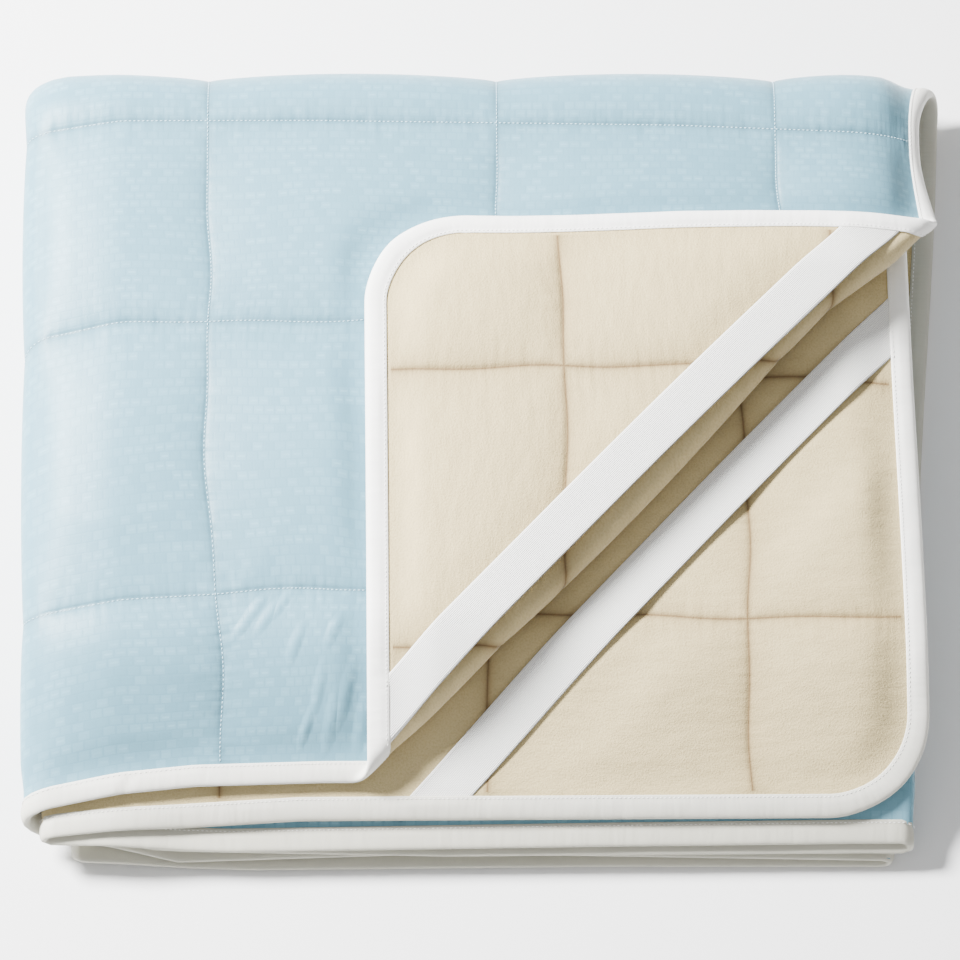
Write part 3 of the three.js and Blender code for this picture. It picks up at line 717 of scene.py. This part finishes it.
def tape_material(looks):
    material, n, shader = new_material("white binding tape")
    uv = n.add("ShaderNodeUVMap", uv_map="UVMap").outputs[0]
    weave = n.add("ShaderNodeGroup", {"Vector": uv}, node_tree=node_group("thread weave", thread_weave_group))
    weave.inputs["Threads per metre"].default_value = 2200.0
    tone = n.add("ShaderNodeGroup", {"Vector": uv, "Colour": linear(looks.tape)},
                 node_tree=node_group("cloth tone", cloth_tone_group))
    tone.inputs["Slow change"].default_value = 0.03
    tone.inputs["Fine change"].default_value = 0.03
    crosswise = n.add("ShaderNodeMapping", {"Vector": uv, "Scale": (160.0, 30.0, 1.0)}).outputs[0]
    gathers = n.noise(crosswise, 1.0, 2.0)
    # Painted shade: the tape's colour darkens towards the bottom of the stack, where the lower layers lie in
    # the shade of those above.
    height = n.add("ShaderNodeSeparateXYZ", {0: n.add("ShaderNodeTexCoord").outputs["Object"]}).outputs[2]
    painted_shade_grey = linear([c * d for c, d in zip(looks.tape, (0.77, 0.765, 0.72))])
    colour = n.blend(n.ramp(height, 0.064, 0.024), tone.outputs[0], painted_shade_grey)
    n.tree.links.new(colour, shader["Base Color"])
    n.tree.links.new(n.ramp(weave.outputs["Thread"], -1.5, 2.4), shader["Roughness"])
    shader["Sheen Weight"].default_value = 0.1
    shader["Specular IOR Level"].default_value = 0.3
    bump(n, shader, [(gathers, 0.35, 0.0012), (weave.outputs["Height"], 0.25, 0.00012)])
    return material


def elastic_material(looks):
    material, n, shader = new_material("ribbed elastic")
    uv = n.add("ShaderNodeUVMap", uv_map="UVMap").outputs[0]
    parts = n.add("ShaderNodeSeparateXYZ", {0: uv}).outputs
    rib = n.math("MULTIPLY", parts[1], 2 * math.pi * looks.ribs / looks.strap_width)
    rib = n.math("ABSOLUTE", n.math("SINE", n.math("MULTIPLY", rib, 0.5)))
    pick = n.math("ABSOLUTE", n.math("SINE", n.math("MULTIPLY", parts[0], 2600.0)))
    height = n.math("ADD", n.math("POWER", rib, 0.6), n.math("MULTIPLY", pick, 0.25))
    tone = n.add("ShaderNodeGroup", {"Vector": uv, "Colour": linear(looks.elastic)},
                 node_tree=node_group("cloth tone", cloth_tone_group))
    tone.inputs["Slow change"].default_value = 0.03
    tone.inputs["Fine change"].default_value = 0.04
    # Painted shade: the hollows between the ribs are coloured darker.
    painted_groove_shade = linear([c * 0.74 for c in looks.elastic])
    colour = n.blend(n.ramp(rib, 0.45, 0.05), tone.outputs[0], painted_groove_shade)
    n.tree.links.new(colour, shader["Base Color"])
    n.tree.links.new(n.ramp(height, -1.5, 2.2), shader["Roughness"])
    shader["Sheen Weight"].default_value = 0.08
    shader["Specular IOR Level"].default_value = 0.25
    bump(n, shader, [(height, 0.8, 0.0004)])
    return material


def thread_material(name, colour):
    material, n, shader = new_material(name)
    place = n.add("ShaderNodeTexCoord").outputs["Object"]
    twist = n.noise(place, 2600.0, 2.0)
    dim = linear([c * 0.88 for c in colour])
    n.tree.links.new(n.blend(n.ramp(twist, 0.35, 0.65), dim, linear(colour)), shader["Base Color"])
    n.tree.links.new(n.ramp(twist, -1.0, 1.4), shader["Roughness"])
    bump(n, shader, [(twist, 0.4, 0.0001)])
    return material


def floor_material(looks):
    material, n, shader = new_material("pale floor")
    place = n.add("ShaderNodeTexCoord").outputs["Object"]
    low = linear([c * 0.995 for c in looks.floor])
    n.tree.links.new(n.blend(n.noise(place, 6.0), low, linear(looks.floor)), shader["Base Color"])
    shader["Roughness"].default_value = 0.9
    shader["Specular IOR Level"].default_value = 0.1
    return material


# Settings

class ProtectorLooks(PropertyGroup):
    """Sizes and colours of the protector."""

    swell: FloatProperty(name="Swell", description="How much fuller the uncovered quilting stands",
                         default=0.0042, min=0.0, max=0.006, subtype="DISTANCE", unit="LENGTH")
    check_size: FloatProperty(name="Check", description="Size of the blue cloth's woven check",
                              default=0.0052, min=0.001, max=0.02, subtype="DISTANCE", unit="LENGTH")
    pile_size: FloatProperty(name="Pile", description="Size of the tufts of the beige plush",
                             default=0.0011, min=0.0005, max=0.005, subtype="DISTANCE", unit="LENGTH")
    stitch_pitch: FloatProperty(name="Stitch pitch", description="From one stitch to the next",
                                default=0.0025, min=0.0015, max=0.01, subtype="DISTANCE", unit="LENGTH")
    strap_width: FloatProperty(name="Strap width", description="Width of the corner elastic",
                               default=0.025, min=0.01, max=0.05, subtype="DISTANCE", unit="LENGTH")
    ribs: IntProperty(name="Ribs", description="Lengthwise ribs across the elastic",
                      default=27, min=4, max=40)
    blue: FloatVectorProperty(name="Blue", description="Colour of the smooth side", subtype="COLOR_GAMMA",
                              size=3, default=(0.385, 0.562, 0.628), min=0, max=1)
    beige: FloatVectorProperty(name="Beige", description="Colour of the plush side", subtype="COLOR_GAMMA",
                               size=3, default=(0.753, 0.687, 0.515), min=0, max=1)
    tape: FloatVectorProperty(name="Tape", description="Colour of the binding", subtype="COLOR_GAMMA",
                              size=3, default=(0.965, 0.96, 0.945), min=0, max=1)
    elastic: FloatVectorProperty(name="Elastic", description="Colour of the straps", subtype="COLOR_GAMMA",
                                 size=3, default=(0.93, 0.925, 0.91), min=0, max=1)
    thread: FloatVectorProperty(name="Thread", description="Colour of the quilting thread",
                                subtype="COLOR_GAMMA", size=3, default=(0.70, 0.84, 0.90), min=0, max=1)
    floor: FloatVectorProperty(name="Floor", description="Colour of the floor", subtype="COLOR_GAMMA",
                               size=3, default=(0.93, 0.93, 0.93), min=0, max=1)


class ProtectorView(PropertyGroup):
    """The camera."""

    elevation: FloatProperty(name="Elevation", description="Height of the camera above the horizon",
                             default=math.radians(70.4), subtype="ANGLE", unit="ROTATION")
    distance: FloatProperty(name="Distance", description="From the camera to the point it looks at",
                            default=4.0, subtype="DISTANCE", unit="LENGTH")
    lens: FloatProperty(name="Lens", description="Focal length in millimetres", default=270.9)
    target: FloatVectorProperty(name="Target", description="The point that the camera looks at",
                                subtype="XYZ", unit="LENGTH", size=3, default=(-0.0015, -0.0208, 0.06))


# Pieces

def settle(piece, slot, *nodes):
    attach(piece, "root")
    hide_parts(*nodes)


class AddStage(Operator):
    """Adds the floor, the lights and the camera"""

    bl_idname = "protector.add_stage"
    bl_label = "Stage"

    def execute(self, context):
        looks, view = context.scene.protector_looks, context.scene.protector_view
        bpy.ops.object.select_all(action="DESELECT")
        bpy.ops.mesh.primitive_plane_add(size=8)
        floor = context.active_object
        floor.name = "floor"
        floor.data.materials.append(floor_material(looks))
        world = bpy.data.worlds.new("soft studio")
        world.use_nodes = True
        n = Nodes(world.node_tree)
        sky = world.node_tree.nodes["Background"].inputs
        up = n.add("ShaderNodeSeparateXYZ", {0: n.add("ShaderNodeTexCoord").outputs["Generated"]}).outputs[2]
        sky[0].default_value = (0.99, 0.995, 1.0, 1)
        n.tree.links.new(n.math("ADD", n.math("MULTIPLY", n.ramp(up, 0.0, 0.85), 0.75), 0.12), sky[1])
        context.scene.world = world
        self.add_light(context, "key light", (-1.6, 0.8, 1.52), 0.6, 440)
        self.add_light(context, "fill light", (0.9, -1.7, 1.6), 1.6, 4)
        camera = bpy.data.cameras.new("camera")
        camera.lens = view.lens
        camera.sensor_width = 36
        camera.clip_end = 20
        seen = bpy.data.objects.new("camera", camera)
        context.scene.collection.objects.link(seen)
        away = Vector((0, -math.cos(view.elevation), math.sin(view.elevation)))
        seen.location = Vector(view.target) + away * view.distance
        seen.rotation_euler = away.to_track_quat("Z", "Y").to_euler()
        context.scene.camera = seen
        return {"FINISHED"}

    @staticmethod
    def add_light(context, name, place, size, power):
        light = bpy.data.lights.new(name, "AREA")
        light.shape = "DISK"
        light.size = size
        light.energy = power
        made = bpy.data.objects.new(name, light)
        context.scene.collection.objects.link(made)
        made.location = place
        made.rotation_euler = Vector(place).to_track_quat("Z", "Y").to_euler()


class AddQuiltedPanel(Operator):
    """Adds the quilted panel: its blue face, its beige face and its edge"""

    bl_idname = "protector.add_quilted_panel"
    bl_label = "Quilted panel"

    def execute(self, context):
        looks = context.scene.protector_looks
        flat, faces = flat_mesh()
        u, v = flat[:, 0], flat[:, 1]
        swell = looks.swell * 1000
        blue = fold(u, v, half_thickness(u, v, 1, swell))
        beige = fold(u, v, -half_thickness(u, v, -1, swell))
        count = len(flat)
        edges = {}
        for face in faces:
            for a, b in zip(face, face[1:] + face[:1]):
                edges[(a, b)] = True
        rim = [[a, b, b + count, a + count] for a, b in edges if (b, a) not in edges]
        every = [face[::-1] for face in faces] + [[i + count for i in face] for face in faces] + rim
        slots = [0] * len(faces) + [1] * (len(faces) + len(rim))
        panel = to_object("quilted_panel_cloth", np.concatenate([blue, beige]), every,
                          np.concatenate([flat, flat]) / 1000,
                          [blue_cloth_material(looks), beige_plush_material(looks)], slots)
        # How near each point lies to a seam: it sets the height of the seam gathers and the painted shade
        # along the seams.
        for name, at, seams in (("near_seam_along", u, SEAMS_ALONG), ("near_seam_across", v, SEAMS_ACROSS)):
            away = np.min(np.abs(at[:, None] - np.array(seams)[None]), 1)
            near = np.exp(-away / 11) * smooth((from_edge(u, v) - 9) / 4)
            float_attribute(panel.data, name, np.concatenate([near, near]))
        settle(panel, "quilted_cloth", "quilted_panel")
        return {"FINISHED"}


def outline_stations():
    """Round the flat outline: functions from the distance inside the edge to the flat point."""
    stations = []
    near_bend = (BEND_END - 14, BEND_START + 14)
    near_joint = (448, 478)

    def straight(start, end, point, has_bend=False):
        at = start
        while at < end - 0.1:
            stations.append(point(at))
            close = any(a < at < b for a, b in (near_bend, near_joint))
            at += 2.2 if has_bend and close else 5.0
        return at

    def arc(corner):
        for step in range(24):
            stations.append(lambda w, c=corner, q=step / 24: corner_point(c, CORNER_RADIUS - w, q))

    arc(CORNERS[0])
    straight(CORNER_RADIUS, LENGTH - CORNER_RADIUS, lambda a: lambda w: (a + 0 * w, w), True)
    arc(CORNERS[1])
    straight(CORNER_RADIUS, WIDTH - CORNER_RADIUS, lambda a: lambda w: (LENGTH - w, a + 0 * w))
    arc(CORNERS[2])
    straight(CORNER_RADIUS, LENGTH - CORNER_RADIUS, lambda a: lambda w: (LENGTH - a + 0 * w, WIDTH - w))
    arc(CORNERS[3])
    count = len(stations)
    straight(CORNER_RADIUS, WIDTH - CORNER_RADIUS, lambda a: lambda w: (w, a + 0 * w), True)
    back = stations[count:]
    del stations[count:]
    return stations + back[::-1]


# piece, whether it is at the far end of the length and of the width, how far from the corner it is sewn
# along each, and how much it is lifted by the fuller quilting under it
STRAPS = [
    ("turned_back_corner", False, False, 297.0, 290.0, 0.75),
    ("second_layer", True, False, 281.0, 297.0, 0.0),
    ("bottom_layer", False, True, 285.0, 285.0, 0.0),
    ("layer_above_bottom", True, True, 285.0, 285.0, 0.0),
]


def strap_lift(u, v):
    """How far the binding is lifted on the beige side where a strap runs in under it."""
    du, dv = np.minimum(u, LENGTH - u), np.minimum(v, WIDTH - v)
    lift = np.zeros_like(u)
    for _, end_u, end_v, along, across, _ in STRAPS:
        here = ((u > LENGTH / 2) == end_u) & ((v > WIDTH / 2) == end_v) & (np.minimum(du, dv) < 14)
        away = np.where(du > dv, np.abs(du - along + 6), np.abs(dv - across + 6))
        lift += np.where(here, 0.75 * smooth((23 - away) / 5), 0)
    return lift


# The binding's section on one side: the distance inside the edge, and the depth from the cloth's middle.
TAPE_OUTSIDE = [(10.8, 1.5), (10.5, 1.9), (9.6, 2.0), (8.5, 2.1), (6.9, 2.6), (4.7, 2.85), (2.4, 2.75),
                (0.6, 2.45), (-0.7, 1.8), (-1.35, 0.9)]
TAPE_INSIDE = [(10.8, 1.3), (6.0, 1.35), (0.5, 1.35), (-0.4, 0.7)]


class AddEdgeBinding(Operator):
    """Adds the white tape that is folded over the panel's edge"""

    bl_idname = "protector.add_edge_binding"
    bl_label = "Edge binding"

    def execute(self, context):
        looks = context.scene.protector_looks
        section = TAPE_OUTSIDE + [(-1.55, 0.0)] + [(w, -s) for w, s in reversed(TAPE_OUTSIDE)]
        section += [(w, -s) for w, s in TAPE_INSIDE] + [(-0.55, 0.0)] + TAPE_INSIDE[::-1]
        w = np.array([a for a, _ in section])
        s = np.array([b for _, b in section])
        stations = outline_stations()
        n, count = len(section), len(stations)
        flat = np.array([np.stack(np.broadcast_arrays(*station(w)), -1) for station in stations])
        u, v = flat[..., 0], flat[..., 1]
        depth = np.broadcast_to(s, u.shape).copy()
        depth -= np.where(depth < -1.0, strap_lift(u, v), 0) * smooth((w - 1) / 6)
        loose = 0.14 * np.sin(u / 17.0 + v / 23.0) + 0.12 * np.sin(u / 7.3 - v / 5.9)
        joint = np.where(v < 20, (u - TAPE_JOINT + 0.35 * w) / 2.2, 9)
        loose += 0.25 * np.exp(-((joint - 1.6) ** 2)) - 1.0 * np.exp(-(joint**2))
        outer = np.zeros(n)
        outer[4:17] = 1
        depth += np.sign(depth) * loose * outer
        points = fold(u, v, depth)
        k = np.arange(n)
        faces = []
        for i in range(count):
            here, there = i * n, ((i + 1) % count) * n
            for a in k:
                b = (a + 1) % n
                faces.append([here + a, here + b, there + b, there + a][::-1])
        middle = points[:, 8]
        steps = np.linalg.norm(np.diff(middle, axis=0), axis=1)
        run = np.concatenate([[0], np.cumsum(steps)])
        round_section = np.concatenate([[0], np.cumsum(np.hypot(np.diff(w), np.diff(s)))]) / 1000
        uvs = np.stack(np.broadcast_arrays(run[:, None], round_section[None]), -1)
        tape = to_object("edge_binding_tape", points, faces, uvs, [tape_material(looks)])
        settle(tape, "binding_tape", "edge_binding")
        return {"FINISHED"}


class AddCornerStraps(Operator):
    """Adds the four ribbed elastic straps, one across each corner"""

    bl_idname = "protector.add_corner_straps"
    bl_label = "Corner straps"

    def execute(self, context):
        looks = context.scene.protector_looks
        material = elastic_material(looks)
        for name, end_u, end_v, along, across, fuller in STRAPS:
            lift = fuller * looks.swell * 1000
            self.add_strap(looks, name, (end_u, end_v), (along, across), lift, material)
        return {"FINISHED"}

    @staticmethod
    def place(share, outward, above, ends, reaches, fuller):
        """Points of a strap: how far along it, how far outward, and how far off the quilting."""
        along, across = (value + outward for value in reaches)
        at = mix(9.0 / along, 1 - 9.0 / across, share)
        a, b = at * along, (1 - at) * across
        inner = mix(EDGE_HALF + 0.1, CROWN_HALF + 0.4 + fuller, smooth((from_edge(a, b) - 12) / 26))
        return fold(LENGTH - a if ends[0] else a, WIDTH - b if ends[1] else b, -(inner + above))

    def drawn_straight(self, share, away, *strap):
        """How far outward a strap's points lie, so that it runs straight and stays as wide."""
        start, end = self.place(np.array([0.0, 1.0]), 0, 0, *strap)[:, :2] * 1000
        line = (end - start) / np.hypot(*(end - start))

        def aside(at, outward):
            point = self.place(at, outward, 0, *strap)[..., :2] * 1000 - start
            return point[..., 0] * line[1] - point[..., 1] * line[0]

        side = np.sign(aside(np.array([0.5]), 20) - aside(np.array([0.5]), 0))
        outward = away * ROOT2
        for _ in range(6):
            slope = aside(share, outward + 1) - aside(share, outward)
            outward = outward - (aside(share, outward) - side * away) / slope
        return outward

    def add_strap(self, looks, name, ends, reaches, fuller, material):
        steps, across = 120, 18
        width = looks.strap_width * 1000
        share = 0.5 - 0.5 * np.cos(math.pi * np.linspace(0, 1, steps + 1))
        share, half = np.meshgrid(share, np.linspace(-0.5, 0.5, across + 1), indexing="ij")
        outward = self.drawn_straight(share, half * width, ends, reaches, fuller)
        rounded = 0.12 * (2 * np.abs(half)) ** 6
        top = self.place(share, outward, STRAP_THICKNESS - rounded, ends, reaches, fuller)
        low = self.place(share, outward, rounded, ends, reaches, fuller)
        n = across + 1
        count = (steps + 1) * n
        faces = []
        for i in range(steps):
            for j in range(across):
                p = i * n + j
                faces.append([p, p + 1, p + n + 1, p + n])
                faces.append([count + p, count + p + n, count + p + n + 1, count + p + 1])
        for i in range(steps):
            p = i * n
            faces.append([p, p + n, count + p + n, count + p])
            p = i * n + across
            faces.append([p + n, p, count + p, count + p + n])
        for j in range(across):
            faces.append([j + 1, j, count + j, count + j + 1])
            p = steps * n + j
            faces.append([p, p + 1, count + p + 1, count + p])
        if ends[0] == ends[1]:
            faces = [face[::-1] for face in faces]
        steps_along = np.linalg.norm(np.diff(top[:, across // 2], axis=0), axis=1)
        length = np.concatenate([[0], np.cumsum(steps_along)])
        uvs = np.stack(np.broadcast_arrays(length[:, None], (half + 0.5) * width / 1000), -1)
        strap = to_object("elastic_" + name, np.concatenate([top, low]), faces, np.concatenate([uvs, uvs]),
                          [material])
        settle(strap, "elastic", "strap_" + name)


def stitch_mesh(name, flat, direction, depth, size, material):
    """Small spindle-shaped stitches at flat points, each along its direction on the cloth."""
    u, v = flat[:, 0], flat[:, 1]
    here = fold(u, v, depth)
    step = 0.4
    along = fold(u + direction[:, 0] * step, v + direction[:, 1] * step, depth) - \
        fold(u - direction[:, 0] * step, v - direction[:, 1] * step, depth)
    along /= np.linalg.norm(along, axis=1)[:, None]
    out = fold(u, v, depth + np.sign(depth) * 1.0) - here
    out /= np.maximum(np.linalg.norm(out, axis=1), 1e-9)[:, None]
    side = np.cross(along, out)
    length, width, height = (value / 1000 for value in size)
    rings = [(-0.5, 0.25), (-0.3, 1.0), (0.3, 1.0), (0.5, 0.25)]
    corners = [(-0.5, -0.4), (0.5, -0.4), (0.32, 0.6), (-0.32, 0.6)]
    points = []
    for at, full in rings:
        for across, up in corners:
            drop = -0.35 if full < 1 else 0
            points.append(here + along * at * length + side * across * width * full
                          + out * (up * full + drop) * height)
    points = np.stack(points, 1)
    single = [[0, 1, 2, 3][::-1], [12, 13, 14, 15]]
    for r in range(3):
        for k in range(4):
            a, b = r * 4 + k, r * 4 + (k + 1) % 4
            single.append([a, b, b + 4, a + 4])
    faces = [[i * 16 + p for p in face] for i in range(len(u)) for face in single]
    uvs = np.repeat(flat / 1000, 16, axis=0)
    made = to_object(name, points, faces, uvs, [material])
    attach(made, "root")
    return made


class AddStitching(Operator):
    """Adds the quilting stitches of the blue side and the stitch lines of the binding"""

    bl_idname = "protector.add_stitching"
    bl_label = "Stitching"

    def execute(self, context):
        looks = context.scene.protector_looks
        pitch = looks.stitch_pitch * 1000
        places, ways = [], []
        for seam in SEAMS_ALONG[:3]:
            at = np.arange(TAPE_WIDTH + 1, WIDTH - TAPE_WIDTH - 1, pitch)
            places.append(np.stack([np.full_like(at, seam), at], -1))
            ways.append(np.tile([0.0, 1.0], (len(at), 1)))
        for seam in SEAMS_ACROSS:
            at = np.arange(TAPE_WIDTH + 1, 552, pitch)
            places.append(np.stack([at, np.full_like(at, seam)], -1))
            ways.append(np.tile([1.0, 0.0], (len(at), 1)))
        flat, direction = np.concatenate(places), np.concatenate(ways)
        depth = half_thickness(flat[:, 0], flat[:, 1], 1, 0.0) + 0.12
        quilting = stitch_mesh("quilting_stitches", flat, direction, depth, (pitch * 0.68, 0.6, 0.42),
                               thread_material("quilting thread", looks.thread))
        line = np.array([np.array(station(np.array(TAPE_STITCHED)), float) for station in outline_stations()])
        closed = np.concatenate([line, line[:1]])
        run = np.concatenate([[0], np.cumsum(np.hypot(*np.diff(closed, axis=0).T))])
        at = np.arange(0, run[-1] - 1, pitch)
        place = np.stack([np.interp(at, run, closed[:, k]) for k in (0, 1)], -1)
        way = np.stack([np.interp(at + 0.5, run, closed[:, k]) for k in (0, 1)], -1) - place
        way /= np.maximum(np.linalg.norm(way, axis=1), 1e-6)[:, None]
        flat, direction = np.concatenate([place, place]), np.concatenate([way, way])
        depth = np.full(len(flat), STITCH_DEPTH)
        depth[len(place):] = -STITCH_DEPTH - strap_lift(*place.T)
        binding = stitch_mesh("binding_stitches", flat, direction, depth, (pitch * 0.62, 0.45, 0.3),
                              thread_material("binding thread", looks.tape))
        return {"FINISHED"}


class ProtectorPanel(Panel):
    """The protector's sizes, colours and pieces"""

    bl_label = "Folded mattress protector"
    bl_idname = "VIEW3D_PT_protector"
    bl_space_type = "VIEW_3D"
    bl_region_type = "UI"
    bl_category = "Protector"

    def draw(self, context):
        column = self.layout.column()
        for group in (context.scene.protector_looks, context.scene.protector_view):
            for name in group.__annotations__:
                column.prop(group, name)
        for operator in OPERATORS:
            column.operator(operator.bl_idname, text=operator.bl_label)


OPERATORS = (AddStage, AddQuiltedPanel, AddEdgeBinding, AddCornerStraps, AddStitching)
CLASSES = (ProtectorLooks, ProtectorView, *OPERATORS, ProtectorPanel)


def register():
    for item in CLASSES:
        bpy.utils.register_class(item)
    bpy.types.Scene.protector_looks = PointerProperty(type=ProtectorLooks)
    bpy.types.Scene.protector_view = PointerProperty(type=ProtectorView)


def unregister():
    del bpy.types.Scene.protector_view
    del bpy.types.Scene.protector_looks
    for item in reversed(CLASSES):
        bpy.utils.unregister_class(item)


def main():
    register()
    bpy.ops.protector.add_stage()
    bpy.ops.protector.add_quilted_panel()
    bpy.ops.protector.add_edge_binding()
    bpy.ops.protector.add_corner_straps()
    bpy.ops.protector.add_stitching()


if __name__ == "__main__":
    main()
